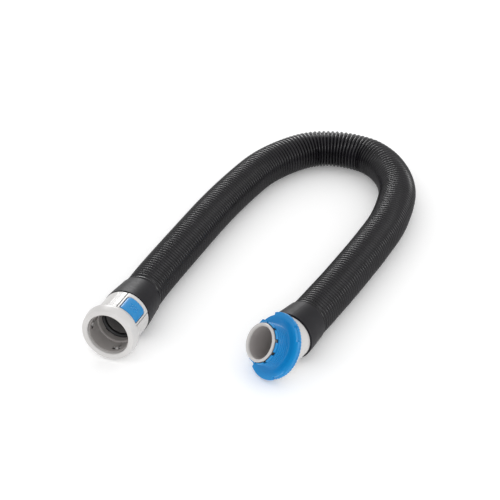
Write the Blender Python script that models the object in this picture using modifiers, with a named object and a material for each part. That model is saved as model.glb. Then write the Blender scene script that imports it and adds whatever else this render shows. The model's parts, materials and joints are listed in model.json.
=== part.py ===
"""Breathing hose of a powered air respirator, laid out in a U on a flat surface.

The headpiece coupling (a quick-release socket with a push button) is on the -X end, the blower
fitting (an elbow with a spigot and a turning bayonet ring) on the +X end, and the corrugated hose
runs from one to the other round the +Y side. Units are metres, +Z is up and z = 0 is the surface.
Every turned piece is drawn as (radius, height) in millimetres about its own axis, where height 0
is the mouth plane of its coupling and the coupling lies below it, at negative heights.
"""
import math

import bmesh
import bpy
from mathutils import Matrix, Vector

MM = 0.001
OBJECT_NAME = "respirator_hose"

# ---- Driving dimensions, in millimetres -------------------------------------------------------
HOSE_RADIUS = 19.0            # over the crests of the corrugation
HOSE_WALL = 1.6
HOSE_POINT_SPACING = 10.5
STRAIGHT_END = 10.5           # straight stretch of hose where it leaves a cuff
GAP = 0.3                     # between pieces that touch or turn on each other

MOUTH = (-67.5, -52.8, 26.85)     # centre of the headpiece coupling's mouth plane
MOUTH_AZIMUTH = 7.5               # degrees from -Y towards +X
MOUTH_RISE = 5.1                  # degrees above level
MOUTH_TO_RIM = 39.6               # mouth plane to the rim of the headpiece cuff
BUTTON_ROLL = 130.0               # degrees round the axis, from the -X side over the top
FLANGE_RADIUS = 26.2
JAW_TURN = 125.0                  # degrees round the axis from the button to each latch jaw
BARREL_RADIUS = 22.2              # at the button and behind it

RIM = (71.8, 26.35, 22.75)        # centre of the blower cuff's rim plane
RIM_AZIMUTH = -3.8
RIM_RISE = 4.0
RIM_TO_BEND = 20.3                # rim plane to the point where the elbow's axes cross
SPIGOT_AZIMUTH = -32.6
SPIGOT_RISE = 33.9
BEND_TO_TIP = 22.7
ELBOW_RADIUS = 21.0
SPIGOT_RADIUS = 17.0
SPIGOT_BORE = 13.9
RING_BORE = 17.7
LOBE_RADIUS = 30.1
VALLEY_RADIUS = 27.8
LOBE_START = -19.8                # degrees round the axis, first lobe of the bayonet ring
LOBE_SPAN = 60.5
NOTCHES = 10
NOTCH_START = 2.4

STUB_RADIUS = 20.1                # tubes that reach into the cuffs
STUB_BORE = 14.8
STUB_LENGTH = 18.2
HEADPIECE_CUFF_LENGTH = 30.5
BLOWER_CUFF_LENGTH = 28.5

# The hose's route on the surface, between the two cuffs, as points chosen by hand.
ROUTE = (
    (-78.7, 32.0, 19.5),
    (-81.2, 59.0, 19.1),
    (-84.6, 122.0, 19.1),
    (-86.8, 175.0, 19.1),
    (-86.1, 224.0, 19.1),
    (-82.1, 268.0, 19.1),
    (-70.1, 303.0, 19.1),
    (-53.1, 328.0, 19.1),
    (-29.1, 341.5, 19.1),
    (-0.1, 344.5, 19.1),
    (19.4, 338.5, 19.1),
    (37.9, 325.0, 19.1),
    (54.9, 304.0, 19.1),
    (65.9, 279.0, 19.1),
    (74.9, 236.0, 19.1),
    (76.9, 193.0, 19.1),
    (76.9, 157.0, 19.1),
    (76.2, 119.0, 19.1),
    (75.1, 88.0, 19.4),
)

SHELL_STEPS = 40                  # faces round the larger shells
RING_STEPS = 36
SEAL_STEPS = 28


# ---- Scene, materials and helpers -------------------------------------------------------------
def clear_scene():
    for obj in list(bpy.data.objects):
        bpy.data.objects.remove(obj, do_unlink=True)


def new_collection(name):
    collection = bpy.data.collections.new(name)
    bpy.context.scene.collection.children.link(collection)
    return collection


def new_material(name, colour, roughness, metallic=0.0):
    material = bpy.data.materials.new(name)
    material.use_nodes = True
    shader = material.node_tree.nodes["Principled BSDF"]
    shader.inputs["Base Color"].default_value = (*colour, 1.0)
    shader.inputs["Roughness"].default_value = roughness
    shader.inputs["Metallic"].default_value = metallic
    return material


def direction(azimuth, rise):
    """Unit vector, azimuth in degrees from -Y towards +X and rise in degrees above level."""
    turn, lift = math.radians(azimuth), math.radians(rise)
    return Vector((math.sin(turn) * math.cos(lift), -math.cos(turn) * math.cos(lift), math.sin(lift)))


def axis_frame(name, origin_mm, axis, roll):
    """Empty with +Z along the axis and +X rolled from the level -X side over the top."""
    level = axis.cross(Vector((0.0, 0.0, 1.0))).normalized()
    upward = level.cross(axis)
    turn = math.radians(roll)
    x_axis = (math.cos(turn) * level + math.sin(turn) * upward).normalized()
    y_axis = axis.cross(x_axis)
    empty = bpy.data.objects.new(name, None)
    rotation = Matrix((x_axis, y_axis, axis)).transposed().to_4x4()
    empty.matrix_world = Matrix.Translation(Vector(origin_mm) * MM) @ rotation
    parts.objects.link(empty)
    return empty


def place(obj, parent, material=None, collection=None):
    obj.parent = parent
    if material is not None:
        obj.data.materials.clear()
        obj.data.materials.append(material)
    (collection or parts).objects.link(obj)
    return obj


def turned(name, profile, parent, material=None, steps=RING_STEPS, collection=None):
    """Solid of revolution: the profile is closed and runs down its outer side first."""
    mesh = bpy.data.meshes.new(name)
    points = [(radius * MM, 0.0, height * MM) for radius, height in profile]
    edges = [(i, (i + 1) % len(points)) for i in range(len(points))]
    mesh.from_pydata(points, edges, [])
    obj = place(bpy.data.objects.new(name, mesh), parent, material, collection)
    screw = obj.modifiers.new("turn", "SCREW")
    screw.steps = steps
    screw.render_steps = steps
    screw.use_merge_vertices = True
    screw.merge_threshold = 0.00001
    screw.use_smooth_shade = True
    return obj


def ring_profile(inner, outer, top, bottom, round_by=0.0):
    """Closed section of a plain ring, with its outer corners eased when round_by is given."""
    if not round_by:
        return [(outer, top), (outer, bottom), (inner, bottom), (inner, top)]
    return [
        (outer - round_by, top),
        (outer, top - round_by),
        (outer, bottom + round_by),
        (outer - round_by, bottom),
        (inner, bottom),
        (inner, top),
    ]


def cord_profile(radius, centre_height, thickness, sides=8):
    """Closed round section of an O-ring."""
    points = []
    for i in range(sides):
        turn = math.pi / 2 - 2 * math.pi * i / sides
        points.append(
            (radius + thickness * math.cos(turn), centre_height + thickness * math.sin(turn))
        )
    return points


def outlined(name, outline, bottom, top, parent, material=None, collection=None):
    """Flat outline in the parent's XY plane, in millimetres, thickened from bottom to top."""
    curve = bpy.data.curves.new(name, "CURVE")
    curve.dimensions = "2D"
    curve.fill_mode = "BOTH"
    curve.extrude = (top - bottom) / 2 * MM
    spline = curve.splines.new("POLY")
    spline.points.add(len(outline) - 1)
    for point, (x, y) in zip(spline.points, outline):
        point.co = (x * MM, y * MM, 0.0, 1.0)
    spline.use_cyclic_u = True
    guide = bpy.data.objects.new(name, curve)
    bpy.context.scene.collection.objects.link(guide)
    graph = bpy.context.evaluated_depsgraph_get()
    mesh = bpy.data.meshes.new_from_object(guide.evaluated_get(graph))
    bpy.data.objects.remove(guide, do_unlink=True)
    bpy.data.curves.remove(curve)
    edit = bmesh.new()
    edit.from_mesh(mesh)
    bmesh.ops.remove_doubles(edit, verts=edit.verts, dist=0.000001)
    bmesh.ops.translate(edit, verts=edit.verts, vec=(0.0, 0.0, (top + bottom) / 2 * MM))
    bmesh.ops.recalc_face_normals(edit, faces=edit.faces)
    edit.to_mesh(mesh)
    edit.free()
    mesh.name = name
    return place(bpy.data.objects.new(name, mesh), parent, material, collection)


def sector(inner, outer, start, end, pieces=10):
    """Outline of a ring sector between two angles in degrees."""
    turns = [math.radians(start + (end - start) * i / pieces) for i in range(pieces + 1)]
    outer_arc = [(outer * math.cos(t), outer * math.sin(t)) for t in turns]
    inner_arc = [(inner * math.cos(t), inner * math.sin(t)) for t in reversed(turns)]
    return outer_arc + inner_arc


def block_mesh(name, blocks):
    """Mesh of boxes, each given as its size, centre and turn about the axis, in millimetres."""
    edit = bmesh.new()
    for size, centre, turn in blocks:
        matrix = (
            Matrix.Rotation(math.radians(turn), 4, "Z")
            @ Matrix.Translation(Vector(centre) * MM)
            @ Matrix.Diagonal((*(Vector(size) * MM), 1.0))
        )
        bmesh.ops.create_cube(edit, size=1.0, matrix=matrix)
    mesh = bpy.data.meshes.new(name)
    edit.to_mesh(mesh)
    edit.free()
    return mesh


def as_cutter(obj):
    obj.hide_render = True
    obj.display_type = "WIRE"
    return obj


def block_cutter(name, blocks, parent):
    obj = bpy.data.objects.new(name, block_mesh(name, blocks))
    return as_cutter(place(obj, parent, collection=cutters))


def combine(target, other, operation):
    step = target.modifiers.new(other.name, "BOOLEAN")
    step.object = other
    step.operation = operation
    return target


# ---- Hose ---------------------------------------------------------------------------------------
def smooth_route(points, spacing):
    """Points every spacing along a Catmull-Rom curve; the first and last points only steer it."""
    dense = []
    for before, start, end, after in zip(points, points[1:], points[2:], points[3:]):
        for j in range(24):
            t = j / 24
            dense.append(
                0.5
                * (
                    2 * start
                    + (end - before) * t
                    + (2 * before - 5 * start + 4 * end - after) * t**2
                    + (3 * start - before - 3 * end + after) * t**3
                )
            )
    dense.append(points[-2])
    lengths = [0.0]
    for a, b in zip(dense, dense[1:]):
        lengths.append(lengths[-1] + (b - a).length)
    count = round(lengths[-1] / spacing)
    route, i = [], 0
    for k in range(count + 1):
        wanted = lengths[-1] * k / count
        while i < len(dense) - 2 and lengths[i + 1] < wanted:
            i += 1
        share = (wanted - lengths[i]) / (lengths[i + 1] - lengths[i])
        route.append(dense[i].lerp(dense[i + 1], share))
    return route


def make_hose():
    """Plain hollow tube over the crests: it meets each cuff's end face."""
    start = Vector(MOUTH) - mouth_axis * (MOUTH_TO_RIM + HEADPIECE_CUFF_LENGTH + 3 * GAP)
    end = Vector(RIM) - rim_axis * (BLOWER_CUFF_LENGTH + 2 * GAP)
    lead_in = [start - mouth_axis * reach for reach in (-STRAIGHT_END, 0.0, STRAIGHT_END)]
    lead_out = [end - rim_axis * reach for reach in (STRAIGHT_END, 0.0, -STRAIGHT_END)]
    points = lead_in + [Vector(point) for point in ROUTE] + lead_out
    route = smooth_route(points, HOSE_POINT_SPACING)
    curve = bpy.data.curves.new("hose", "CURVE")
    curve.dimensions = "3D"
    curve.bevel_depth = HOSE_RADIUS * MM
    curve.bevel_resolution = 4
    spline = curve.splines.new("POLY")
    spline.points.add(len(route) - 1)
    for point, place_mm in zip(spline.points, route):
        point.co = (*(place_mm * MM), 1.0)
    hose = place(bpy.data.objects.new("hose", curve), None, black_hose)
    wall = hose.modifiers.new("wall", "SOLIDIFY")
    wall.thickness = HOSE_WALL * MM
    wall.offset = -1.0
    return hose


# ---- Headpiece coupling ---------------------------------------------------------------------------
def make_coupling_housing(frame):
    """Flared mouth, waist and barrel in one shell, with the jaw groove and the swivel collar."""
    rear = -(MOUTH_TO_RIM - 0.1)
    housing = turned(
        "coupling_housing",
        [
            (20.4, 0.0), (24.1, 0.0), (24.8, -0.5), (25.2, -2.0), (FLANGE_RADIUS, -7.2),
            (FLANGE_RADIUS, -8.6), (25.4, -10.2), (23.8, -11.8), (22.5, -13.2), (21.7, -14.6),
            (BARREL_RADIUS, -19.0), (BARREL_RADIUS, rear + 0.6), (21.6, rear),
            (17.5, rear), (17.5, -33.6), (19.8, -33.6), (19.8, -11.8), (22.4, -11.8), (22.4, -7.0),
            (19.7, -7.0), (19.7, -0.6),
        ],
        frame,
        light_grey,
        steps=SHELL_STEPS,
    )
    recess = turned("cover_recess_ring", ring_profile(21.2, 24.4, -12.9, rear - 1.0), frame,
                    steps=SHELL_STEPS, collection=cutters)
    slab = block_cutter("cover_recess_slab", [((12.0, 25.0, 40.0), (22.0, 0.0, -32.9), 0.0)], frame)
    combine(as_cutter(recess), slab, "INTERSECT")
    window = block_cutter("button_window", [((12.0, 20.4, 19.9), (22.0, 0.0, -24.4), 0.0)], frame)
    combine(housing, recess, "DIFFERENCE")
    return combine(housing, window, "DIFFERENCE")


def make_latch_cover(frame):
    """Curved frame round the button, set into the barrel."""
    cover = turned("latch_cover", ring_profile(21.5, 22.7, -13.2, -38.9, 0.4), frame, light_grey,
                   steps=SHELL_STEPS)
    slab = block_cutter("cover_outline", [((12.0, 24.2, 60.0), (22.0, 0.0, -26.0), 0.0)], frame)
    window = block_cutter("cover_window", [((12.0, 20.4, 19.9), (22.0, 0.0, -24.4), 0.0)], frame)
    combine(cover, slab, "INTERSECT")
    return combine(cover, window, "DIFFERENCE")


def make_coupling_liner(frame):
    """Inner sleeve: entry bore, shoulder, narrower bore and the seat of the mouth seal."""
    liner = turned(
        "coupling_liner",
        [
            (19.1, -2.6), (19.4, -2.9), (19.4, -18.8), (18.2, -18.8), (18.2, -28.8),
            (15.0, -28.8), (15.0, -28.0), (17.0, -28.0), (17.0, -19.0), (17.4, -18.5),
            (18.6, -18.5), (18.6, -3.1),
        ],
        frame,
        inner_grey,
    )
    window_size = (6.0, 9.2, 4.6)
    windows = block_cutter(
        "jaw_windows",
        [(window_size, (18.5, 0.0, -9.4), turn) for turn in (JAW_TURN, -JAW_TURN)],
        frame,
    )
    return combine(liner, windows, "DIFFERENCE")


def make_mouth_seal(frame):
    """Black ring seal at the bottom of the socket, with its key tab."""
    seal = turned(
        "mouth_seal",
        [
            (16.2, -24.6), (16.7, -25.0), (16.7, -27.7), (15.4, -27.7), (14.8, -26.6), (15.2, -25.4),
        ],
        frame,
        black_rubber,
    )
    tab = block_cutter("seal_key_tab", [((1.6, 4.4, 2.6), (16.0, 0.0, -25.2), 177.0)], frame)
    return combine(seal, tab, "UNION")


def make_release_button(frame):
    """Curved thumb plate with skirts, standing proud of the cover."""
    button = turned("release_button", ring_profile(21.5, 23.1, -14.8, -34.0, 0.35), frame, blue,
                    steps=SHELL_STEPS)
    slab = block_cutter("button_outline", [((12.0, 19.6, 60.0), (22.0, 0.0, -26.0), 0.0)], frame)
    return combine(button, slab, "INTERSECT")


def make_button_spring(frame):
    """Bow of spring steel between the liner and the button."""
    arch = [(17.45, -7.6), (18.9, -5.6), (20.2, -3.2), (20.9, 0.0), (20.2, 3.2), (18.9, 5.6),
            (17.45, 7.6)]
    back = [(x + 0.3, y) for x, y in reversed(arch)]
    return outlined("button_spring", arch + back, -24.8, -20.8, frame, steel)


def make_latch_jaw(name, frame, turn):
    """Jaw with a barb that stands through the liner's window into the entry bore."""
    jaw = outlined(name, sector(19.75, 21.2, turn - 34.0, turn + 34.0, 12), -11.1, -7.7, frame,
                   light_grey)
    barb = block_cutter(name + "_barb", [((2.6, 7.8, 2.8), (19.4, 0.0, -9.4), turn)], frame)
    return combine(jaw, barb, "UNION")


def make_jaw_spring(name, frame, turn):
    """Bowed leaf that presses a jaw inwards, in the groove behind it."""
    bow = [(21.8, -16.0), (21.65, -9.0), (21.5, 0.0), (21.65, 9.0), (21.8, 16.0)]
    inner = [
        (r * math.cos(math.radians(turn + a)), r * math.sin(math.radians(turn + a))) for r, a in bow
    ]
    outer = [
        ((r + 0.3) * math.cos(math.radians(turn + a)), (r + 0.3) * math.sin(math.radians(turn + a)))
        for r, a in reversed(bow)
    ]
    return outlined(name, inner + outer, -10.7, -8.1, frame, steel)


def make_swivel_stub(frame):
    """Tube that carries the coupling and reaches back into the headpiece cuff."""
    rim = -(MOUTH_TO_RIM + GAP)
    return turned(
        "swivel_stub",
        [
            (17.2, -29.5), (17.2, -31.2), (16.1, -31.2), (16.1, -32.9), (17.2, -32.9),
            (17.2, -34.3), (15.9, -34.3), (15.9, -36.5), (17.2, -36.5), (17.2, rim - 1.4),
            (STUB_RADIUS, rim - 1.4), (STUB_RADIUS, rim - STUB_LENGTH),
            (STUB_BORE, rim - STUB_LENGTH), (STUB_BORE, -29.5),
        ],
        frame,
        dark_grey,
    )


def make_swivel_clip(frame):
    """Split retaining ring that stops the stub from pulling out of the housing."""
    clip = turned("swivel_clip", ring_profile(16.4, 18.9, -31.5, -32.6), frame, steel)
    split = block_cutter("clip_split", [((6.0, 3.0, 4.0), (17.5, 0.0, -32.0), 200.0)], frame)
    return combine(clip, split, "DIFFERENCE")


def make_cuff(name, frame, rim, length):
    """Rubber cuff: thin flared rim, tapering to the hose, hollow for the stub inside it."""
    end = rim - length
    return turned(
        name,
        [
            (22.2, rim), (22.6, rim - 0.6), (22.2, rim - 2.6), (21.0, rim - length * 0.55),
            (19.9, end + 1.6), (19.0, end), (15.6, end), (15.6, rim - STUB_LENGTH - 1.2),
            (STUB_RADIUS + GAP, rim - STUB_LENGTH - 1.2), (STUB_RADIUS + GAP, rim),
        ],
        frame,
        black_rubber,
    )


def make_headpiece_coupling(frame):
    make_coupling_housing(frame)
    make_latch_cover(frame)
    make_coupling_liner(frame)
    make_mouth_seal(frame)
    make_release_button(frame)
    make_button_spring(frame)
    make_latch_jaw("latch_jaw_left", frame, JAW_TURN)
    make_latch_jaw("latch_jaw_right", frame, -JAW_TURN)
    make_jaw_spring("jaw_spring_left", frame, JAW_TURN)
    make_jaw_spring("jaw_spring_right", frame, -JAW_TURN)
    make_swivel_stub(frame)
    make_swivel_clip(frame)
    turned("swivel_seal", cord_profile(16.65, -35.4, 0.62), frame, black_rubber, SEAL_STEPS)
    rim = -(MOUTH_TO_RIM + GAP)
    make_cuff("headpiece_cuff", frame, rim, HEADPIECE_CUFF_LENGTH)


# ---- Blower fitting -------------------------------------------------------------------------------
def make_elbow_body(cuff_frame, spigot_frame):
    """Grey elbow: a stub in the cuff, a short barrel and an oblique seat for the spigot."""
    seat = -24.3
    elbow = turned(
        "elbow_body",
        [
            (ELBOW_RADIUS, RIM_TO_BEND + 14.0), (ELBOW_RADIUS, 0.5), (20.8, GAP),
            (STUB_RADIUS, GAP), (STUB_RADIUS, -STUB_LENGTH), (STUB_BORE, -STUB_LENGTH),
            (STUB_BORE, RIM_TO_BEND + 14.0),
        ],
        cuff_frame,
        light_grey,
    )
    trim = turned("elbow_trim", [(0.0, 40.0), (60.0, 40.0), (60.0, seat), (0.0, seat)],
                  spigot_frame, steps=24, collection=cutters)
    socket = turned("elbow_socket", [(0.0, seat + 0.4), (SPIGOT_RADIUS + GAP, seat + 0.4),
                                     (SPIGOT_RADIUS + GAP, seat - 4.0), (0.0, seat - 4.0)],
                    spigot_frame, collection=cutters)
    combine(elbow, as_cutter(trim), "DIFFERENCE")
    return combine(elbow, as_cutter(socket), "DIFFERENCE")


def make_spigot_tube(frame):
    """Air tube with a rounded lip at its tip and a groove for the seal and the retainer."""
    return turned(
        "spigot_tube",
        [
            (16.3, 0.0), (17.2, -0.4), (17.4, -1.3), (17.2, -2.2),
            (SPIGOT_RADIUS, -2.9), (15.7, -2.9), (15.7, -4.9), (SPIGOT_RADIUS, -4.9),
            (SPIGOT_RADIUS, -21.6), (16.0, -21.6), (16.0, -23.2), (SPIGOT_RADIUS, -23.2),
            (SPIGOT_RADIUS, -27.9), (SPIGOT_BORE, -27.9), (SPIGOT_BORE, -2.6), (14.6, -0.6),
        ],
        frame,
        light_grey,
    )


def make_bayonet_ring(frame):
    """Blue ring that turns on the spigot: ribbed neck, notched front edge and a lobed plate."""
    profile = [(18.3, -2.6), (18.8, -3.0), (18.9, -4.4), (18.3, -5.2)]
    for i in range(5):
        top = -6.0 - 2.2 * i
        profile += [(18.3, top), (18.85, top - 0.8), (18.3, top - 1.6)]
    profile += [
        (18.6, -18.4), (22.0, -18.2), (26.2, -17.3), (LOBE_RADIUS - 0.4, -17.3),
        (LOBE_RADIUS, -17.7), (LOBE_RADIUS, -19.8), (RING_BORE, -19.8), (RING_BORE, -2.6),
    ]
    ring = turned("bayonet_ring", profile, frame, blue, steps=SHELL_STEPS)
    for k in range(4):
        start = LOBE_START + LOBE_SPAN + 90.0 * k
        gap = outlined(f"valley_{k}", sector(VALLEY_RADIUS, 33.0, start, start + 90.0 - LOBE_SPAN, 5),
                       -21.0, -16.0, frame, collection=cutters)
        combine(ring, as_cutter(gap), "DIFFERENCE")
    notches = block_cutter(
        "neck_notches",
        [
            ((3.0, 2.6, 3.0), (18.0, 0.0, -2.6), NOTCH_START + 360.0 * k / NOTCHES)
            for k in range(NOTCHES)
        ],
        frame,
    )
    return combine(ring, notches, "DIFFERENCE")


def make_grip_rim(frame):
    """Knurled skirt behind the lobed plate, for turning the ring by hand."""
    return turned(
        "grip_rim",
        [
            (27.4, -20.1), (28.9, -21.6), (28.9, -22.4), (28.3, -23.4), (27.0, -24.0),
            (19.4, -24.0), (19.4, -20.9), (18.0, -20.9), (18.0, -20.1),
        ],
        frame,
        blue,
        steps=SHELL_STEPS,
    )


def make_blower_fitting(cuff_frame, spigot_frame):
    make_elbow_body(cuff_frame, spigot_frame)
    make_spigot_tube(spigot_frame)
    make_bayonet_ring(spigot_frame)
    make_grip_rim(spigot_frame)
    retainer = turned("ring_retainer", ring_profile(16.3, 18.9, -21.9, -22.9), spigot_frame, steel)
    split = block_cutter("retainer_split", [((6.0, 3.0, 4.0), (17.5, 0.0, -22.4), 70.0)],
                         spigot_frame)
    combine(retainer, split, "DIFFERENCE")
    turned("spigot_seal", cord_profile(16.65, -3.9, 0.72), spigot_frame, black_rubber,
           SEAL_STEPS)
    make_cuff("blower_cuff", cuff_frame, 0.0, BLOWER_CUFF_LENGTH)


# ---- Build ----------------------------------------------------------------------------------------
clear_scene()
parts = new_collection(OBJECT_NAME)
cutters = new_collection("cutters")

light_grey = new_material("light_grey_plastic", (0.72, 0.70, 0.68), 0.32)
inner_grey = new_material("inner_grey_plastic", (0.36, 0.34, 0.33), 0.45)
dark_grey = new_material("black_plastic", (0.07, 0.066, 0.068), 0.25)
blue = new_material("blue_plastic", (0.02, 0.24, 0.66), 0.35)
black_hose = new_material("black_hose", (0.012, 0.012, 0.014), 0.42)
black_rubber = new_material("black_rubber", (0.03, 0.03, 0.032), 0.5)
steel = new_material("spring_steel", (0.62, 0.62, 0.64), 0.28, 1.0)

mouth_axis = direction(MOUTH_AZIMUTH, MOUTH_RISE)
rim_axis = direction(RIM_AZIMUTH, RIM_RISE)
spigot_axis = direction(SPIGOT_AZIMUTH, SPIGOT_RISE)
spigot_tip = Vector(RIM) + rim_axis * RIM_TO_BEND + spigot_axis * BEND_TO_TIP

headpiece_frame = axis_frame("headpiece_frame", MOUTH, mouth_axis, BUTTON_ROLL)
blower_cuff_frame = axis_frame("blower_cuff_frame", RIM, rim_axis, 0.0)
spigot_frame = axis_frame("spigot_frame", spigot_tip, spigot_axis, 0.0)

make_headpiece_coupling(headpiece_frame)
make_blower_fitting(blower_cuff_frame, spigot_frame)
make_hose()
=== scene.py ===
import json
import math

import bmesh
import bpy
from mathutils import Matrix, Vector


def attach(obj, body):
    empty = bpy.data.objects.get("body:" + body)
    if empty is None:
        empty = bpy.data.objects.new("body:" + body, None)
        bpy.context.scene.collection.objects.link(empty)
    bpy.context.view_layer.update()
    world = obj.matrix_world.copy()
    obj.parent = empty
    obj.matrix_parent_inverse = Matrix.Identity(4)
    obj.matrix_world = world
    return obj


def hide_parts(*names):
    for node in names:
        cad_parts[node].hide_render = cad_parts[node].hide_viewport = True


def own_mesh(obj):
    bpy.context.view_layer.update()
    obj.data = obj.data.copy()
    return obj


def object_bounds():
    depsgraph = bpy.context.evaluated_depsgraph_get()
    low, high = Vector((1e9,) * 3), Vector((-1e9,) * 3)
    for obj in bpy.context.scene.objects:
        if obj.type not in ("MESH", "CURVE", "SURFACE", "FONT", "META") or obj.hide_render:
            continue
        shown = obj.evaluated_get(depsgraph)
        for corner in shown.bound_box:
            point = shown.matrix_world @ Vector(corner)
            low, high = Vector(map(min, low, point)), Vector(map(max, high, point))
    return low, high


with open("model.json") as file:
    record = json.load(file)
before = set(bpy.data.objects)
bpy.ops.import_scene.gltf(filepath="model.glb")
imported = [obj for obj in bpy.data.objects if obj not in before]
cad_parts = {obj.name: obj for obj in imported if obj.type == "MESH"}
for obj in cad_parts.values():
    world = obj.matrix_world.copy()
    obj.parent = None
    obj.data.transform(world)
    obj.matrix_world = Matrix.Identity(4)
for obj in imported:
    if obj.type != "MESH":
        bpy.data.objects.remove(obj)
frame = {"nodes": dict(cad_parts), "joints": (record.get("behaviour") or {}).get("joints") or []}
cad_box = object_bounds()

# Looks of a respirator's breathing hose: a corrugated hose laid in a U, with a quick coupling for
# the headpiece at one end and an elbow with a bayonet ring for the blower at the other. Turned
# pieces are drawn as (radius, height) in millimetres about one of three axes. Height 0 is the mouth
# of the headpiece coupling (HEAD), the tip of the spigot (SPIGOT) or the rim of the blower cuff
# (CUFF), and heights grow towards the open end.
MM = 0.001
UP = Vector((0.0, 0.0, 1.0))

# ---- Dimensions shared with the CAD model, in millimetres and degrees --------------------------
GAP = 0.3
MOUTH_TO_RIM = 39.6
RIM_AZIMUTH = -3.8
RIM_RISE = 4.0
RIM_TO_BEND = 20.3
BEND_TO_TIP = 22.7
HEADPIECE_CUFF_LENGTH = 30.5
BLOWER_CUFF_LENGTH = 28.5
STUB_RADIUS = 20.1
STUB_BORE = 14.8
STUB_LENGTH = 18.2
BARREL_RADIUS = 22.2
ELBOW_RADIUS = 21.0
JAW_TURN = 125.0
RING_BORE = 17.7
LOBE_RADIUS = 30.1
VALLEY_RADIUS = 27.8
LOBE_START = -19.8
LOBE_SPAN = 60.5
NOTCHES = 10
NOTCH_START = 2.4
HOSE_RADIUS = 19.0
STRAIGHT_END = 10.5

# The hose's route, point by point as in part.py, in metres.
ROUTE = (
    (-0.0787, 0.0320, 0.0195),
    (-0.0812, 0.0590, 0.0191),
    (-0.0846, 0.1220, 0.0191),
    (-0.0868, 0.1750, 0.0191),
    (-0.0861, 0.2240, 0.0191),
    (-0.0821, 0.2680, 0.0191),
    (-0.0701, 0.3030, 0.0191),
    (-0.0531, 0.3280, 0.0191),
    (-0.0291, 0.3415, 0.0191),
    (-0.0001, 0.3445, 0.0191),
    (0.0194, 0.3385, 0.0191),
    (0.0379, 0.3250, 0.0191),
    (0.0549, 0.3040, 0.0191),
    (0.0659, 0.2790, 0.0191),
    (0.0749, 0.2360, 0.0191),
    (0.0769, 0.1930, 0.0191),
    (0.0769, 0.1570, 0.0191),
    (0.0762, 0.1190, 0.0191),
    (0.0751, 0.0880, 0.0194),
)

# ---- The hose's corrugation, which the CAD model leaves out, in millimetres ---------------------
HOSE_VALLEY = 16.9
HOSE_WALL = 0.9
HOSE_SIDES = 40
ROUTE_SPACING = 3.5
TANGENT_REACH = 3.0           # either side of a section, for its direction
RIB_PITCH = 3.56
RIB_STEPS = 6                 # sections drawn for each rib
CREST_SHAPE = 0.7             # below 1, crests are broader than valleys
INNER_SHARE = 0.8             # of the ribs' depth, seen on the inside
CUFF_STRETCH = 0.75           # share by which a rib beside a cuff is wider
CUFF_STRETCH_REACH = 4.5      # distance over which that fades
BEND_STRETCH = 0.2            # share by which a rib in the middle of the bend is wider
BEND_START = 0.33             # share of the hose's length before the bend
BEND_SHARE = 0.39             # share of the hose's length within the bend

# ---- Frames of the two couplings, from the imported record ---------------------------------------
joints = {joint["name"]: joint for joint in frame["joints"]}


def direction(azimuth, rise):
    """Unit vector, azimuth in degrees from -Y towards +X and rise in degrees above level."""
    turn, lift = math.radians(azimuth), math.radians(rise)
    return Vector((math.sin(turn) * math.cos(lift), -math.cos(turn) * math.cos(lift), math.sin(lift)))


def axes(origin, axis, x_axis=None):
    """Matrix from a coupling's own millimetres to metres in the row frame, +Z along its axis."""
    z = Vector(axis).normalized()
    x = Vector(x_axis) if x_axis is not None else z.cross(UP)
    x = (x - x.dot(z) * z).normalized()
    rotation = Matrix((x, z.cross(x), z)).transposed().to_4x4()
    return Matrix.Translation(origin) @ rotation @ Matrix.Scale(MM, 4)


mouth = Vector(joints["headpiece_swivel"]["pos_m"])
mouth_axis = Vector(joints["headpiece_swivel"]["axis"]).normalized()
spigot_tip = Vector(joints["bayonet_turn"]["pos_m"])
spigot_axis = Vector(joints["bayonet_turn"]["axis"]).normalized()
rim_axis = direction(RIM_AZIMUTH, RIM_RISE)
bend_point = spigot_tip - spigot_axis * BEND_TO_TIP * MM
rim = bend_point - rim_axis * RIM_TO_BEND * MM
HEAD = axes(mouth, mouth_axis, -Vector(joints["button_press"]["axis"]))
SPIGOT = axes(spigot_tip, spigot_axis)
CUFF = axes(rim, rim_axis)


# ---- Materials ----------------------------------------------------------------------------------
def node(tree, kind, **inputs):
    made = tree.nodes.new(kind)
    for name, value in inputs.items():
        made.inputs[name.replace("_", " ")].default_value = value
    return made


def noise(tree, scale, detail=3.0, roughness=0.55, stretch=None):
    """Noise texture in the piece's own coordinates, whose scale is in features per metre."""
    place = tree.nodes.new("ShaderNodeTexCoord")
    texture = node(tree, "ShaderNodeTexNoise", Scale=scale, Detail=detail, Roughness=roughness)
    if stretch is None:
        tree.links.new(place.outputs["Object"], texture.inputs["Vector"])
    else:
        mapping = tree.nodes.new("ShaderNodeMapping")
        mapping.inputs["Scale"].default_value = stretch
        tree.links.new(place.outputs["Object"], mapping.inputs["Vector"])
        tree.links.new(mapping.outputs["Vector"], texture.inputs["Vector"])
    return texture.outputs["Fac"]


def ramp(tree, factor, stops):
    """Colour ramp with stops given as (position, colour)."""
    made = tree.nodes.new("ShaderNodeValToRGB")
    while len(made.color_ramp.elements) < len(stops):
        made.color_ramp.elements.new(0.5)
    for element, (position, colour) in zip(made.color_ramp.elements, stops):
        element.position = position
        element.color = (*colour, 1.0)
    tree.links.new(factor, made.inputs["Fac"])
    return made.outputs["Color"]


def spread(tree, factor, low, high):
    """Map the middle of a noise to the range low to high."""
    made = node(tree, "ShaderNodeMapRange", From_Min=0.3, From_Max=0.7, To_Min=low, To_Max=high)
    tree.links.new(factor, made.inputs["Value"])
    return made.outputs["Result"]


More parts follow.
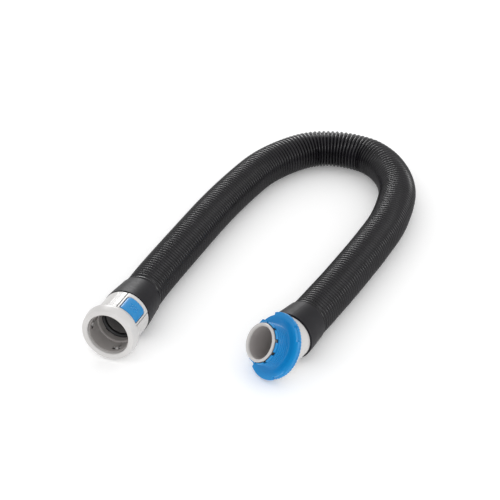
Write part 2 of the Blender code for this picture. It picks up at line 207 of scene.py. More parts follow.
def finish_of(name, dark, light, rough, grain, grain_height, patch=35.0, specular=0.5, metallic=0.0,
              streak=None):
    """Moulded or machined surface: two close tones in patches, uneven gloss and a fine grain."""
    material = bpy.data.materials.new(name)
    material.use_nodes = True
    tree = material.node_tree
    shader = tree.nodes["Principled BSDF"]
    shader.inputs["Metallic"].default_value = metallic
    shader.inputs["Specular IOR Level"].default_value = specular
    tone = noise(tree, patch, 4.0)
    tree.links.new(ramp(tree, tone, [(0.32, dark), (0.68, light)]), shader.inputs["Base Color"])
    gloss = noise(tree, patch * 6.0, 5.0, 0.6, streak)
    tree.links.new(spread(tree, gloss, rough[0], rough[1]), shader.inputs["Roughness"])
    bump = node(tree, "ShaderNodeBump", Strength=0.35, Distance=grain_height * MM)
    tree.links.new(noise(tree, grain, 2.0, 0.5, streak), bump.inputs["Height"])
    tree.links.new(bump.outputs["Normal"], shader.inputs["Normal"])
    return material


light_grey = finish_of("light_grey_plastic", (0.58, 0.567, 0.557), (0.63, 0.617, 0.607), (0.30, 0.40),
                       2600.0, 0.02, specular=0.35)
spigot_grey = finish_of("spigot_grey_plastic", (0.50, 0.485, 0.475), (0.56, 0.545, 0.535), (0.3, 0.42),
                        2600.0, 0.02)
# darker grey inside the spigot's bore: painted shade of the bore
bore_painted_shade = finish_of("bore_grey_plastic", (0.33, 0.308, 0.302), (0.39, 0.366, 0.36), (0.36, 0.48),
                      2200.0, 0.02)
# darker grey for the liner deep in the socket: painted shade
inner_painted_shade = finish_of("inner_grey_plastic", (0.33, 0.31, 0.30), (0.39, 0.37, 0.36), (0.32, 0.46),
                       2200.0, 0.03)
shaded_grey = finish_of("shaded_grey_plastic", (0.05, 0.047, 0.047), (0.075, 0.07, 0.07), (0.4, 0.5),
                        2200.0, 0.03)
blue = finish_of("blue_plastic", (0.004, 0.215, 0.52), (0.007, 0.255, 0.60), (0.28, 0.40), 1800.0, 0.03,
                 specular=0.35)
black_hose = finish_of("black_hose", (0.0055, 0.005, 0.0065), (0.0095, 0.0085, 0.011), (0.26, 0.32),
                       900.0, 0.008, patch=60.0, specular=0.34)
black_rubber = finish_of("black_rubber", (0.011, 0.0105, 0.0125), (0.017, 0.016, 0.019), (0.42, 0.52),
                         1700.0, 0.04, specular=0.12)
black_seal = finish_of("black_seal", (0.005, 0.005, 0.006), (0.010, 0.010, 0.011), (0.35, 0.5),
                       1700.0, 0.03)
dark_grey = finish_of("dark_grey_plastic", (0.21, 0.20, 0.20), (0.27, 0.26, 0.26), (0.24, 0.36),
                      1500.0, 0.02)
steel = finish_of("spring_steel", (0.55, 0.55, 0.56), (0.66, 0.66, 0.68), (0.2, 0.34), 3000.0, 0.01,
                  metallic=1.0, streak=(1.0, 1.0, 0.1))


# ---- Mesh helpers -------------------------------------------------------------------------------
def piece(name, mesh, material, body=None, replaces=()):
    """Object of the model, riding on a body and standing for CAD nodes."""
    obj = bpy.data.objects.new(name, mesh)
    bpy.context.scene.collection.objects.link(obj)
    mesh.materials.clear()
    mesh.materials.append(material)
    if body is not None:
        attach(obj, body)
    if replaces:
        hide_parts(*replaces)
    return obj


def soften(mesh, sharp_over=38.0):
    """Smooth shading, with the edges that turn more than the angle kept sharp."""
    mesh.shade_smooth()
    mesh.set_sharp_from_angle(angle=math.radians(sharp_over))
    return mesh


def loft(name, rings, closed=True, sharp_over=38.0):
    """Mesh through rings of equally many points in metres. A closed loft joins its last ring to its
    first, and an open one has a flat cap at each end."""
    mesh = bpy.data.meshes.new(name)
    count = len(rings[0])
    points = [point for ring in rings for point in ring]
    faces = []
    for i in range(len(rings) if closed else len(rings) - 1):
        a, b = i * count, (i + 1) % len(rings) * count
        for j in range(count):
            k = (j + 1) % count
            faces.append((a + j, a + k, b + k, b + j))
    if not closed:
        faces.append(tuple(range(count)))
        faces.append(tuple(range((len(rings) - 1) * count, len(rings) * count)))
    mesh.from_pydata(points, [], faces)
    edit = bmesh.new()
    edit.from_mesh(mesh)
    bmesh.ops.recalc_face_normals(edit, faces=edit.faces)
    edit.to_mesh(mesh)
    edit.free()
    return soften(mesh, sharp_over)


def eased(profile, corner=0.25, pieces=3):
    """Closed outline with each corner rounded. A point's third number is its own corner size."""
    made = []
    for i, point in enumerate(profile):
        here = Vector(point[:2])
        size = point[2] if len(point) > 2 else corner
        before = Vector(profile[i - 1][:2]) - here
        after = Vector(profile[(i + 1) % len(profile)][:2]) - here
        if size <= 0.0:
            made.append(here)
            continue
        start = here + before.normalized() * min(size, before.length * 0.45)
        end = here + after.normalized() * min(size, after.length * 0.45)
        for k in range(pieces + 1):
            t = k / pieces
            made.append(start * (1 - t) ** 2 + here * 2 * t * (1 - t) + end * t**2)
    return made


def ring_of(matrix, radius, height, steps, change=None):
    """Circle about an axis. change(radius, height, degrees) gives another radius and height."""
    points = []
    for k in range(steps):
        turn = 360.0 * k / steps
        r, h = change(radius, height, turn) if change else (radius, height)
        angle = math.radians(turn)
        points.append(matrix @ Vector((r * math.cos(angle), r * math.sin(angle), h)))
    return points


def lathe(name, profile, matrix, steps=144, change=None, sharp_over=38.0):
    """Turned solid with a closed profile of (radius, height)."""
    return loft(name, [ring_of(matrix, r, h, steps, change) for r, h in profile], True, sharp_over)


def rounded_rectangle(half_x, half_y, corners, arc=5, side=8):
    """Outline with a corner radius for each of its +x+y, -x+y, -x-y and +x-y corners."""
    points = []
    signs = ((1, 1), (-1, 1), (-1, -1), (1, -1))
    for i, ((sx, sy), radius) in enumerate(zip(signs, corners)):
        radius = max(min(radius, half_x, half_y), 0.01)
        middle = Vector((sx * (half_x - radius), sy * (half_y - radius)))
        for k in range(arc + 1):
            turn = math.radians(90.0 * (i + k / arc))
            points.append(middle + radius * Vector((math.cos(turn), math.sin(turn))))
        nx, ny = signs[(i + 1) % 4]
        radius = max(min(corners[(i + 1) % 4], half_x, half_y), 0.01)
        far = Vector((nx * (half_x - radius), ny * (half_y - radius)))
        turn = math.radians(90.0 * (i + 1))
        far += radius * Vector((math.cos(turn), math.sin(turn)))
        near = points[-1]
        for k in range(1, side):
            points.append(near.lerp(far, k / side))
    return points


def on_barrel(matrix, outline, centre_height, radius):
    """Flat outline wrapped on a cylinder round the local +X side."""
    return [
        matrix @ Vector((math.sqrt(radius**2 - p.x**2), p.x, centre_height + p.y)) for p in outline
    ]


def block(name, size, centre, turn, matrix, bevel=0.25):
    """Box with rounded edges, turned about the axis, in millimetres."""
    edit = bmesh.new()
    place = Matrix.Rotation(math.radians(turn), 4, "Z") @ Matrix.Translation(Vector(centre))
    bmesh.ops.create_cube(edit, size=1.0, matrix=Matrix.Diagonal((*size, 1.0)))
    if bevel:
        bmesh.ops.bevel(edit, geom=edit.edges[:], offset=bevel, segments=3, affect="EDGES", profile=0.5)
    bmesh.ops.transform(edit, matrix=matrix @ place, verts=edit.verts)
    mesh = bpy.data.meshes.new(name)
    edit.to_mesh(mesh)
    edit.free()
    return soften(mesh)


def merged(name, meshes):
    """One mesh of several."""
    edit = bmesh.new()
    for mesh in meshes:
        edit.from_mesh(mesh)
        bpy.data.meshes.remove(mesh)
    mesh = bpy.data.meshes.new(name)
    edit.to_mesh(mesh)
    edit.free()
    return mesh


def boolean(mesh, tool):
    """Mesh with another cut out of it. Both are used up."""
    target = bpy.data.objects.new("boolean_target", mesh)
    other = bpy.data.objects.new("boolean_tool", tool)
    for obj in (target, other):
        bpy.context.scene.collection.objects.link(obj)
    step = target.modifiers.new("cut", "BOOLEAN")
    step.object = other
    step.operation = "DIFFERENCE"
    graph = bpy.context.evaluated_depsgraph_get()
    made = bpy.data.meshes.new_from_object(target.evaluated_get(graph))
    for obj in (target, other):
        bpy.data.objects.remove(obj, do_unlink=True)
    bpy.data.meshes.remove(mesh)
    bpy.data.meshes.remove(tool)
    return soften(made)


# ---- Hose ---------------------------------------------------------------------------------------
def smooth_route(points, spacing):
    """Points every spacing along a Catmull-Rom curve; the first and last points only steer it."""
    dense, steps = [], 24
    for before, start, end, after in zip(points, points[1:], points[2:], points[3:]):
        for j in range(steps):
            t = j / steps
            dense.append(
                0.5
                * (
                    2 * start
                    + (end - before) * t
                    + (2 * before - 5 * start + 4 * end - after) * t**2
                    + (3 * start - before - 3 * end + after) * t**3
                )
            )
    dense.append(points[-2])
    lengths = [0.0]
    for a, b in zip(dense, dense[1:]):
        lengths.append(lengths[-1] + (b - a).length)
    count = round(lengths[-1] / spacing)
    return [point_along(dense, lengths, lengths[-1] * k / count) for k in range(count + 1)]


def point_along(points, lengths, wanted):
    """Point at a wanted distance along a line of points, whose own distances are lengths."""
    low, high = 0, len(lengths) - 2
    while low < high:
        middle = (low + high + 1) // 2
        if lengths[middle] <= wanted:
            low = middle
        else:
            high = middle - 1
    share = (wanted - lengths[low]) / (lengths[low + 1] - lengths[low])
    return points[low].lerp(points[low + 1], min(max(share, 0.0), 1.0))


def hose_route():
    """Centre line of the hose, from the headpiece cuff to the blower cuff."""
    start = mouth - mouth_axis * (MOUTH_TO_RIM + HEADPIECE_CUFF_LENGTH + 3 * GAP) * MM
    end = rim - rim_axis * (BLOWER_CUFF_LENGTH + 2 * GAP) * MM
    lead_in = [start - mouth_axis * reach * MM for reach in (-STRAIGHT_END, 0.0, STRAIGHT_END)]
    lead_out = [end - rim_axis * reach * MM for reach in (STRAIGHT_END, 0.0, -STRAIGHT_END)]
    return smooth_route(lead_in + [Vector(point) for point in ROUTE] + lead_out, ROUTE_SPACING * MM)


def rib_places(length):
    """Start and width of each rib in millimetres: wider by each cuff, and opened up in the bend."""
    places, at = [], 0.0
    while at < length - RIB_PITCH:
        from_cuff = min(at, length - at)
        by_cuff = CUFF_STRETCH * math.exp(-from_cuff / CUFF_STRETCH_REACH)
        bend = max(0.0, math.sin(math.pi * (at / length - BEND_START) / BEND_SHARE))
        width = RIB_PITCH * (1.0 + by_cuff + BEND_STRETCH * bend)
        places.append((at, width))
        at += width
    return [(start * length / at, width * length / at) for start, width in places]


def make_hose():
    """Corrugated tube along the route, with an outer and an inner surface."""
    route = hose_route()
    lengths = [0.0]
    for a, b in zip(route, route[1:]):
        lengths.append(lengths[-1] + (b - a).length)
    total = lengths[-1]

    def section(at, radius, side):
        here = point_along(route, lengths, at)
        ahead = point_along(route, lengths, min(at + TANGENT_REACH * MM, total))
        behind = point_along(route, lengths, max(at - TANGENT_REACH * MM, 0.0))
        along = (ahead - behind).normalized()
        side = (side - side.dot(along) * along).normalized()
        other = along.cross(side)
        ring = []
        for k in range(HOSE_SIDES):
            turn = 2 * math.pi * k / HOSE_SIDES
            ring.append(here + (side * math.cos(turn) + other * math.sin(turn)) * radius * MM)
        return ring, side

    outer, inner = [], []
    depth = HOSE_RADIUS - HOSE_VALLEY
    for start, width in rib_places(total / MM):
        for k in range(RIB_STEPS):
            crest = (0.5 - 0.5 * math.cos(2 * math.pi * k / RIB_STEPS)) ** CREST_SHAPE
            outer.append(((start + width * k / RIB_STEPS) * MM, HOSE_VALLEY + depth * crest))
        inner.append((start * MM, HOSE_VALLEY - HOSE_WALL))
        inner.append(((start + width / 2) * MM, HOSE_VALLEY - HOSE_WALL + depth * INNER_SHARE))
    outer.append((total, HOSE_VALLEY))
    inner.append((total, HOSE_VALLEY - HOSE_WALL))
    rings, side = [], UP
    for at, radius in outer:
        ring, side = section(at, radius, side)
        rings.append(ring)
    side_back = side
    for at, radius in reversed(inner):
        ring, side_back = section(at, radius, side_back)
        rings.append(ring)
    mesh = loft("hose_corrugated", rings, True, 80.0)
    hose = piece("hose_corrugated", mesh, black_hose, "hose_assembly", ["hose"])
    return hose


# ---- Cuffs --------------------------------------------------------------------------------------
def make_cuff(name, node_name, matrix, rim_height, length):
    """Rubber cuff: thin flared rim, a soft waist, a rolled rear edge and a step to the hose."""
    end = rim_height - length
    profile = eased([
        (21.8, rim_height, 0.25), (22.55, rim_height - 0.35, 0.3), (22.4, rim_height - 1.6, 0.8),
        (22.0, rim_height - length * 0.3, 2.5), (21.0, rim_height - length * 0.65, 3.0),
        (20.35, end + 3.4, 1.0), (20.2, end + 1.1, 0.5), (19.3, end + 0.1, 0.3), (17.9, end, 0.2),
        (17.9, end + 0.8, 0.1), (15.6, end + 0.8, 0.2), (15.6, rim_height - STUB_LENGTH - 1.2, 0.2),
        (STUB_RADIUS + GAP, rim_height - STUB_LENGTH - 1.2, 0.2), (STUB_RADIUS + GAP, rim_height, 0.2),
    ], pieces=4)

    def seam(radius, height, turn):
        # fine mould lines on both flanks
        on_line = abs((turn % 180.0) - 90.0) < 0.6 and radius > 19.2
        return radius + (0.07 if on_line else 0.0), height

    mesh = lathe(name, profile, matrix, 180, seam, 50.0)
    return piece(name, mesh, black_rubber, "hose_assembly", [node_name])


# ---- Headpiece coupling -------------------------------------------------------------------------
HOUSING_REAR = -(MOUTH_TO_RIM - 0.1)
LATCH_HEIGHT = -9.4
# plates on the barrel: half their width and length, the height of their middle and their outer radius
COVER = {"half_x": 11.9, "half_y": 12.7, "middle": -26.1, "top": 22.9}
BUTTON = {"half_x": 9.8, "half_y": 9.6, "middle": -24.4, "top": 23.15}
WINDOW_CLEARANCE = 0.6        # between the button and the housing's window
COVER_CLEARANCE = 0.55        # between the button and the cover round it
DOT_PITCH = 1.9
DOT_RADIUS = 0.85
# the shallow panel on the housing's side: its heights, its angles about the axis and its depth
PANEL = {"rear": -38.0, "front": -16.4, "from": 45.0, "to": 57.0, "depth": 0.45}


def make_housing():
    """Flared mouth, waist and barrel with the button window and a shallow panel on its left side."""
    profile = eased([
        (20.4, 0.0, 0.3), (24.0, 0.0, 0.6), (24.9, -0.7, 0.9), (25.4, -2.6, 1.2), (26.2, -7.0, 2.0),
        (26.1, -9.2, 1.4), (24.6, -11.4, 1.6), (22.3, -13.4, 1.6), (21.8, -15.2, 1.0),
        (BARREL_RADIUS, -19.0, 1.5), (BARREL_RADIUS, HOUSING_REAR + 0.5, 0.4), (21.6, HOUSING_REAR, 0.2),
        (17.5, HOUSING_REAR, 0.2), (17.5, -33.6, 0.1), (19.8, -33.6, 0.1), (19.8, -11.8, 0.1),
        (22.4, -11.8, 0.1), (22.4, -7.0, 0.1), (19.7, -7.0, 0.15), (19.7, -0.7, 0.4),
    ], pieces=4)
    fine = []
    for i, point in enumerate(profile):
        after = profile[(i + 1) % len(profile)]
        cuts = max(1, int((after - point).length / 1.2)) if point.x > 21.0 else 1
        fine += [point.lerp(after, k / cuts) for k in range(cuts)]

    def panels(radius, height, turn):
        in_panel = PANEL["rear"] < height < PANEL["front"] and PANEL["from"] < turn < PANEL["to"]
        if radius > 21.7 and in_panel:
            return radius - PANEL["depth"], height
        return radius, height

    mesh = lathe("coupling_housing_shell", fine, HEAD, 240, panels, 32.0)
    recess = block("recess", (12.0, 2 * COVER["half_x"] + 1.7, 2 * COVER["half_y"] + 1.0),
                   (23.0, 0.0, COVER["middle"]), 0.0, HEAD, 0.0)
    opening = [2 * (BUTTON[half] + WINDOW_CLEARANCE) for half in ("half_x", "half_y")]
    window = block("window", (12.0, *opening), (22.0, 0.0, BUTTON["middle"]), 0.0, HEAD, 0.3)
    mesh = boolean(mesh, recess)
    mesh = boolean(mesh, window)
    return piece("coupling_housing_shell", mesh, light_grey, "headpiece_coupling", ["coupling_housing"])


def plate_rings(matrix, outline_of, middle, levels):
    """Rings of a plate on the barrel, one for each (inset, radius)."""
    return [on_barrel(matrix, outline_of(inset), middle, radius) for inset, radius in levels]


def make_cover():
    """Curved frame round the button."""
    def outer(inset):
        return rounded_rectangle(COVER["half_x"] - inset, COVER["half_y"] - inset, (1.2, 1.2, 0.9, 0.9))

    def inner(inset):
        shift = BUTTON["middle"] - COVER["middle"]
        grow = COVER_CLEARANCE + inset
        outline = rounded_rectangle(BUTTON["half_x"] + grow, BUTTON["half_y"] + grow, (1.0, 1.0, 3.6, 3.6))
        return [Vector((p.x, p.y + shift)) for p in outline]

    middle, top, bottom = COVER["middle"], COVER["top"], 21.0
    levels = [(0.0, bottom), (0.0, top - 0.5), (0.1, top - 0.18), (0.35, top - 0.02), (0.8, top)]
    rings = plate_rings(HEAD, outer, middle, levels)
    outer_ring, inner_ring = outer(0.8), inner(0.5)
    for k in range(1, 4):
        between = [a.lerp(b, k / 4) for a, b in zip(outer_ring, inner_ring)]
        rings.append(on_barrel(HEAD, between, middle, top))
    levels = [(0.5, top), (0.2, top - 0.1), (0.0, top - 0.4), (0.0, bottom)]
    rings += plate_rings(HEAD, inner, middle, levels)
    mesh = loft("latch_cover_frame", rings, True, 40.0)
    return piece("latch_cover_frame", mesh, light_grey, "headpiece_coupling", ["latch_cover"])


def make_button():
    """Curved thumb plate with rounded rear corners and a field of small grip dots."""
    def outline(inset):
        corners = [max(c - inset, 0.05) for c in (0.8, 0.8, 3.4, 3.4)]
        return rounded_rectangle(BUTTON["half_x"] - inset, BUTTON["half_y"] - inset, corners)

    top, bottom = BUTTON["top"], 21.5
    levels = [(inset, bottom) for inset in (9.4, 7.0, 4.0, 2.0, 0.0)]
    levels += [(0.0, top - 0.55), (0.08, top - 0.3), (0.25, top - 0.13), (0.5, top - 0.05), (1.2, top),
               (2.4, top), (4.0, top - 0.01), (6.0, top - 0.02), (8.0, top - 0.03), (9.4, top - 0.03)]
    plate = loft("release_button_plate", plate_rings(HEAD, outline, BUTTON["middle"], levels), False, 40.0)
    dots = []
    for row in range(4):
        for column in range(5):
            if (row + column) % 2:
                continue
            x = DOT_PITCH * (column - 2)
            height = BUTTON["middle"] + DOT_PITCH * (row - 1.5)
            edit = bmesh.new()
            bmesh.ops.create_uvsphere(edit, u_segments=16, v_segments=10, radius=DOT_RADIUS)
            squashed = Matrix.Diagonal((0.65, 1.0, 1.0, 1.0))
            at = Matrix.Translation((math.sqrt((top - 0.02) ** 2 - x**2), x, height))
            bmesh.ops.transform(edit, matrix=HEAD @ at @ squashed, verts=edit.verts)
            dot = bpy.data.meshes.new("dot")
            edit.to_mesh(dot)
            edit.free()
            dots.append(dot)
    mesh = soften(merged("release_button_plate", [plate] + dots), 40.0)
    return piece("release_button_plate", mesh, blue, "release_button", ["release_button"])


def make_liner():
    """Inner sleeve with the two latch windows, a slot line beside each and the shoulder."""
    profile = eased([
        (19.1, -2.6, 0.15), (19.4, -2.9, 0.1), (19.4, -18.8, 0.1), (18.2, -18.8, 0.1), (18.2, -28.8, 0.1),
        (15.0, -28.8, 0.1), (15.0, -28.0, 0.1), (17.0, -28.0, 0.1), (17.0, -19.4, 0.5),
        (17.5, -18.5, 0.3), (18.6, -18.5, 0.2), (18.6, -3.1, 0.4),
    ])
    mesh = lathe("coupling_liner_sleeve", profile, HEAD, 180)
    for side in (1.0, -1.0):
        turn = side * JAW_TURN
        window = block("window", (6.0, 9.0, 4.6), (18.5, 0.0, LATCH_HEIGHT), turn, HEAD, 0.4)
        mesh = boolean(mesh, window)
        slot = block("slot", (2.0, 1.1, 8.6), (19.0, 0.0, -15.8), turn - side * 4.0, HEAD, 0.2)
        mesh = boolean(mesh, slot)
    # the sleeve takes the darker grey, painted shade of the socket's inside
    return piece("coupling_liner_sleeve", mesh, inner_painted_shade, "headpiece_coupling", ["coupling_liner"])


def make_mouth_seal():
    """Black lip seal at the bottom of the socket, with its key tab."""
    profile = eased([
        (16.4, -24.2, 0.4), (16.9, -24.8, 0.2), (16.9, -27.7, 0.2), (15.0, -27.7, 0.2),
        (13.5, -27.0, 0.3), (14.0, -25.2, 0.6), (15.4, -24.3, 0.5),
    ], pieces=4)
    ring = lathe("mouth_seal_ring", profile, HEAD, 144)
    tab = block("tab", (1.6, 4.4, 2.6), (16.0, 0.0, -25.2), 177.0, HEAD, 0.4)
    return piece("mouth_seal_ring", merged("mouth_seal_ring", [ring, tab]), black_seal, "headpiece_coupling",
                 ["mouth_seal"])


def arc_solid(name, profile, matrix, start, end, steps):
    """Closed section swept about the axis between two angles."""
    rings = []
    for k in range(steps + 1):
        turn = math.radians(start + (end - start) * k / steps)
        rings.append([matrix @ Vector((r * math.cos(turn), r * math.sin(turn), h)) for r, h in profile])
    return loft(name, rings, False)


def make_jaw(side, turn):
    """Half of the latch hoop, with the tongue that stands in the liner's window."""
    front, rear = LATCH_HEIGHT + 1.6, LATCH_HEIGHT - 1.6
    hoop_profile = eased([(19.8, front), (20.9, front), (20.9, rear), (19.8, rear)], 0.3)
    hoop = arc_solid("hoop", hoop_profile, HEAD, turn - 33.0, turn + 33.0, 40)
    tongue = block("tongue", (2.5, 2.6, 2.2), (19.3, 0.0, LATCH_HEIGHT), turn, HEAD, 0.5)
    name = f"latch_jaw_{side}_hoop"
    bare = len(hoop.polygons)
    jaw = piece(name, merged(name, [hoop, tongue]), light_grey, f"latch_jaw_{side}", [f"latch_jaw_{side}"])
    jaw.data.materials.append(shaded_grey)
    for face in jaw.data.polygons[:bare]:
        face.material_index = 1
    return jaw


def make_spring(name, bow, thickness, low, high, turn):
    """Bowed leaf of spring steel, on a mesh of its own."""
    place = HEAD @ Matrix.Rotation(math.radians(turn), 4, "Z")
    rings = [[place @ Vector(corner) for corner in ((x, y, low), (x + thickness, y, low),
                                                    (x + thickness, y, high), (x, y, high))] for x, y in bow]
    spring = piece(name + "_leaf", loft(name + "_leaf", rings, False), steel, "headpiece_coupling", [name])
    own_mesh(spring)


def make_springs():
    """Return springs of the button and of the two latch jaws."""
    bow = [(17.45 + 3.45 * (0.5 + 0.5 * math.cos(math.pi * k / 12)) ** 0.8, 7.6 * k / 12)
           for k in range(-12, 13)]
    make_spring("button_spring", bow, 0.3, -24.8, -20.8, 0.0)
    bow = [(21.25 + 0.5 * (k / 6) ** 2, 2.8 * k / 6) for k in range(-6, 7)]
    for side, turn in (("left", JAW_TURN), ("right", -JAW_TURN)):
        make_spring(f"jaw_spring_{side}", bow, 0.2, LATCH_HEIGHT - 1.3,
                    LATCH_HEIGHT + 1.3, turn)


def make_swivel_stub():
    """Smooth black tube behind the seal, which carries the coupling and reaches into the cuff."""
    top = -(MOUTH_TO_RIM + GAP)
    profile = eased([
        (17.2, -29.5, 0.3), (17.2, -31.2, 0.1), (16.1, -31.2, 0.1), (16.1, -32.9, 0.1), (17.2, -32.9, 0.1),
        (17.2, -34.3, 0.1), (15.9, -34.3, 0.1), (15.9, -36.5, 0.1), (17.2, -36.5, 0.1),
        (17.2, top - 1.4, 0.2), (STUB_RADIUS, top - 1.4, 0.2), (STUB_RADIUS, top - STUB_LENGTH, 0.2),
        (STUB_BORE, top - STUB_LENGTH, 0.5), (STUB_BORE, -29.5, 0.5),
    ])
    return piece("swivel_stub_tube", lathe("swivel_stub_tube", profile, HEAD, 144), dark_grey,
                 "hose_assembly", ["swivel_stub"])


# ---- Blower fitting -----------------------------------------------------------------------------
SEAT = -24.3                  # plane in which the elbow ends, square to the spigot
NECK_RIBS = 5
NECK_RIB_PITCH = 2.3
KNURLS = 60
KNURL_DEPTH = 0.4


def make_elbow():
    """Grey elbow: a stub in the cuff, a barrel cut off square to the spigot, and the bent bore."""
    steps = 180
    socket_radius, bore_radius, socket_floor = 17.4, 14.0, SEAT - 4.0
    to_cuff = CUFF.inverted()
    seat_normal = (to_cuff.to_3x3() @ spigot_axis).normalized()
    seat_point = to_cuff @ (SPIGOT @ Vector((0.0, 0.0, SEAT)))

    def barrel(radius, share, inset=0.0):
        """Ring part of the way from the rim to the oblique seat."""
        ring = []
        for k in range(steps):
            turn = 2 * math.pi * k / steps
            base = Vector((radius * math.cos(turn), radius * math.sin(turn), 0.0))
            reach = (seat_point - base).dot(seat_normal) / seat_normal.z
            ring.append(CUFF @ (base + Vector((0.0, 0.0, 0.5 + max(reach - inset - 0.5, 0.02) * share))))
        return ring

    rings = [ring_of(CUFF, r, h, steps) for r, h in (
        (STUB_BORE, 0.0), (STUB_BORE, -STUB_LENGTH + 0.3), (15.1, -STUB_LENGTH),
        (19.8, -STUB_LENGTH), (STUB_RADIUS, -STUB_LENGTH + 0.3), (STUB_RADIUS, GAP - 0.1),
        (STUB_RADIUS + 0.1, GAP), (20.8, GAP), (20.95, 0.35), (ELBOW_RADIUS, 0.5),
    )]
    rings += [barrel(ELBOW_RADIUS, k / 8, 0.5) for k in range(1, 9)]
    rings += [barrel(20.92, 1.0, 0.25), barrel(20.7, 1.0, 0.07), barrel(20.4, 1.0)]
    socket = ring_of(SPIGOT, socket_radius, SEAT, steps)
    edge = barrel(20.2, 1.0)
    rings += [[a.lerp(b, k / 3) for a, b in zip(edge, socket)] for k in range(3)]
    rings += [ring_of(SPIGOT, r, h, steps) for r, h in (
        (socket_radius, SEAT), (socket_radius - 0.1, SEAT - 0.2),
        (socket_radius - 0.1, socket_floor + 0.1), (bore_radius, socket_floor),
    )]
    start = ring_of(SPIGOT, bore_radius, socket_floor, steps)
    end = ring_of(CUFF, STUB_BORE, 0.0, steps)
    rings += [[a.lerp(b, k / 6) for a, b in zip(start, end)] for k in range(1, 6)]
    mesh = loft("elbow_shell", rings, True, 30.0)
    return piece("elbow_shell", mesh, light_grey, "hose_assembly", ["elbow_body"])


def notch_angle(k):
    """Degrees about the spigot's axis of one of the notches in the ring's neck."""
    return NOTCH_START + 360.0 * k / NOTCHES


def make_spigot():
    """Air tube with a rolled lip, the groove of the seal, a small nub in front of each notch and painted
    shade inside its bore.
    """
    profile = eased([
        (15.9, 0.0, 0.7), (17.1, -0.25, 0.6), (17.45, -1.3, 0.5), (17.05, -2.4, 0.4), (17.0, -2.9, 0.1),
        (15.7, -2.9, 0.1), (15.7, -4.9, 0.1), (17.0, -4.9, 0.1), (17.0, -21.6, 0.1), (16.0, -21.6, 0.1),
        (16.0, -23.2, 0.1), (17.0, -23.2, 0.1), (17.0, -27.9, 0.2), (13.9, -27.9, 0.3), (13.9, -6.0, 3.0),
        (14.6, -1.2, 1.2),
    ], pieces=5)
    tube = lathe("spigot_tube_shell", profile, SPIGOT, 180)
    nubs = [block("nub", (0.9, 0.9, 0.8), (17.35, 0.0, -1.6), notch_angle(k), SPIGOT, 0.25)
            for k in range(NOTCHES)]
    mesh = merged("spigot_tube_shell", [tube] + nubs)
    made = piece("spigot_tube_shell", mesh, spigot_grey, "hose_assembly", ["spigot_tube"])
    # faces inside the bore take the darker grey, as painted shade
    made.data.materials.append(bore_painted_shade)
    to_spigot = SPIGOT.inverted()
    for face in made.data.polygons:
        middle = to_spigot @ face.center
        if middle.z < -3.0 and math.hypot(middle.x, middle.y) < 14.6:
            face.material_index = 1
    return made


def in_lobe(turn):
    """Whether an angle about the spigot's axis falls on one of the four lobes."""
    return (turn - LOBE_START) % 90.0 < LOBE_SPAN


def make_bayonet_ring():
    """Ribbed neck with a notched front edge, and the dished plate with its four lobes."""
    steps = 360
    neck = [(18.15, -2.6, 0.25), (18.8, -2.9, 0.3), (19.0, -4.4, 0.4), (18.45, -5.4, 0.3)]
    for i in range(NECK_RIBS):
        top = -5.9 - NECK_RIB_PITCH * i
        neck += [(18.0, top - 0.1, 0.15), (18.95, top - 0.5, 0.25), (18.95, top - 1.0, 0.25),
                 (18.0, top - 1.4, 0.15)]
    plate = [(18.5, -17.9, 0.6), (20.2, -18.3, 1.0), (22.6, -18.1, 1.5), (25.8, -17.35, 1.5),
             (LOBE_RADIUS - 0.2, -17.3, 0.3), (LOBE_RADIUS, -17.6, 0.2), (LOBE_RADIUS, -19.6, 0.2),
             (LOBE_RADIUS - 0.3, -19.8, 0.2), (RING_BORE, -19.8, 0.2), (RING_BORE, -2.6, 0.2)]
    profile = eased(neck + plate, pieces=3)

    def lobes(radius, height, turn):
        if radius > VALLEY_RADIUS and height < -17.0 and not in_lobe(turn):
            return VALLEY_RADIUS - (LOBE_RADIUS - radius) * 0.5, height
        return radius, height

    mesh = lathe("bayonet_ring_body", profile, SPIGOT, steps, lobes, 35.0)
    holes = [block("hole", (3.4, 3.4, 3.2), (18.4, 0.0, -3.9), notch_angle(k), SPIGOT, 0.9)
             for k in range(NOTCHES)]
    mesh = boolean(mesh, merged("holes", holes))
    return piece("bayonet_ring_body", mesh, blue, "bayonet_ring", ["bayonet_ring"])


def make_grip_rim():
    """Skirt behind the plate, finely knurled round its edge."""
    profile = eased([
        (27.4, -20.1, 0.2), (28.9, -21.6, 0.3), (28.9, -22.4, 0.3), (28.3, -23.5, 0.5), (27.0, -24.0, 0.4),
        (19.4, -24.0, 0.2), (19.4, -20.9, 0.2), (18.0, -20.9, 0.1), (18.0, -20.1, 0.2),
    ])

    def knurl(radius, height, turn):
        if radius > 26.0 and height < -20.2:
            return radius - KNURL_DEPTH * (0.5 - 0.5 * math.cos(math.radians(turn * KNURLS))), height
        return radius, height

    mesh = lathe("grip_rim_skirt", profile, SPIGOT, 480, knurl, 60.0)
    return piece("grip_rim_skirt", mesh, blue, "bayonet_ring", ["grip_rim"])


def make_spigot_seal():
    """Black band seal, seen through the notches of the ring's neck."""
    profile = eased([(15.9, -2.95, 0.1), (17.35, -2.95, 0.25), (17.5, -3.9, 0.4), (17.5, -6.0, 0.2),
                     (17.1, -6.2, 0.1), (17.1, -4.85, 0.1), (15.9, -4.85, 0.1)])
    mesh = lathe("spigot_seal_ring", profile, SPIGOT, 120)
    return piece("spigot_seal_ring", mesh, black_seal, "hose_assembly", ["spigot_seal"])


# ---- Build --------------------------------------------------------------------------------------
make_hose()
make_cuff("headpiece_cuff_rubber", "headpiece_cuff", HEAD, -(MOUTH_TO_RIM + GAP), HEADPIECE_CUFF_LENGTH)
make_cuff("blower_cuff_rubber", "blower_cuff", CUFF, 0.0, BLOWER_CUFF_LENGTH)
make_housing()
make_cover()
make_button()
make_liner()
make_mouth_seal()
make_jaw("left", JAW_TURN)
make_jaw("right", -JAW_TURN)
make_springs()
make_swivel_stub()
make_elbow()
make_spigot()
make_bayonet_ring()
make_grip_rim()
make_spigot_seal()

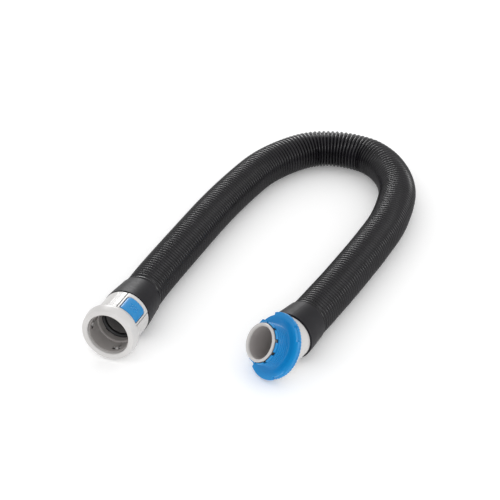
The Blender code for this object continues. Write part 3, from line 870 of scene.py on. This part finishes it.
# hidden pieces that keep their CAD shape and take only a material
KEPT_NODES = {"swivel_clip": steel, "ring_retainer": steel, "swivel_seal": black_seal}
for name, material in KEPT_NODES.items():
    mesh = frame["nodes"][name].data
    mesh.materials.clear()
    mesh.materials.append(material)


# ---- Floor, light and camera --------------------------------------------------------------------
FLOOR_GLOW = 0.14             # keeps the floor white under the object's own shade
SKY_STRENGTH = 0.99


def make_floor():
    """White floor, which belongs to the picture and not to the object."""
    mesh = bpy.data.meshes.new("floor")
    edit = bmesh.new()
    bmesh.ops.create_grid(edit, x_segments=1, y_segments=1, size=6.0)
    edit.to_mesh(mesh)
    edit.free()
    material = finish_of("floor_white", (0.93, 0.93, 0.93), (0.95, 0.95, 0.95), (0.75, 0.85), 300.0, 0.02,
                         patch=1.5, specular=0.2)
    shader = material.node_tree.nodes["Principled BSDF"]
    shader.inputs["Emission Color"].default_value = (1.0, 1.0, 1.0, 1.0)
    shader.inputs["Emission Strength"].default_value = FLOOR_GLOW
    piece("floor", mesh, material)


def area_light(name, place, aim, size, power):
    """White rectangular lamp that looks at a point."""
    light = bpy.data.lights.new(name, "AREA")
    light.shape = "RECTANGLE"
    light.size, light.size_y = size
    light.energy = power
    obj = bpy.data.objects.new(name, light)
    bpy.context.scene.collection.objects.link(obj)
    obj.location = place
    obj.rotation_euler = (Vector(aim) - Vector(place)).to_track_quat("-Z", "Y").to_euler()
    return obj


def make_lights():
    """Even white sky with a softbox in front and two lamps for the highlights."""
    world = bpy.data.worlds.new("studio")
    world.use_nodes = True
    world.node_tree.nodes["Background"].inputs["Color"].default_value = (1.0, 1.0, 1.0, 1.0)
    world.node_tree.nodes["Background"].inputs["Strength"].default_value = SKY_STRENGTH
    bpy.context.scene.world = world
    middle = (cad_box[0] + cad_box[1]) / 2
    area_light("front_softbox", (0.55, -1.1, 0.9), middle, (0.7, 0.5), 2.4)
    # strip lights that draw highlights without darkening the floor behind the pieces
    for name, place, size, power in (("left_strip", (-0.70, 1.05, 0.72), (0.7, 0.45), 17.0),
                                     ("right_strip", (1.15, 0.45, 0.45), (0.35, 0.35), 5.0)):
        strip = area_light(name, place, middle, size, power)
        strip.visible_diffuse = False


def make_camera():
    """Long lens from the front right, looking down on the object."""
    camera = bpy.data.cameras.new("camera")
    camera.sensor_width = 36.0
    camera.lens = 102.0
    camera.clip_start, camera.clip_end = 0.05, 20.0
    obj = bpy.data.objects.new("camera", camera)
    bpy.context.scene.collection.objects.link(obj)
    obj.location = (0.50092, -0.85503, 0.80110)
    obj.rotation_euler = (math.radians(55.0), 0.0, math.radians(28.0))
    bpy.context.scene.camera = obj


make_floor()
make_lights()
make_camera()
bpy.context.scene.view_settings.view_transform = "Standard"
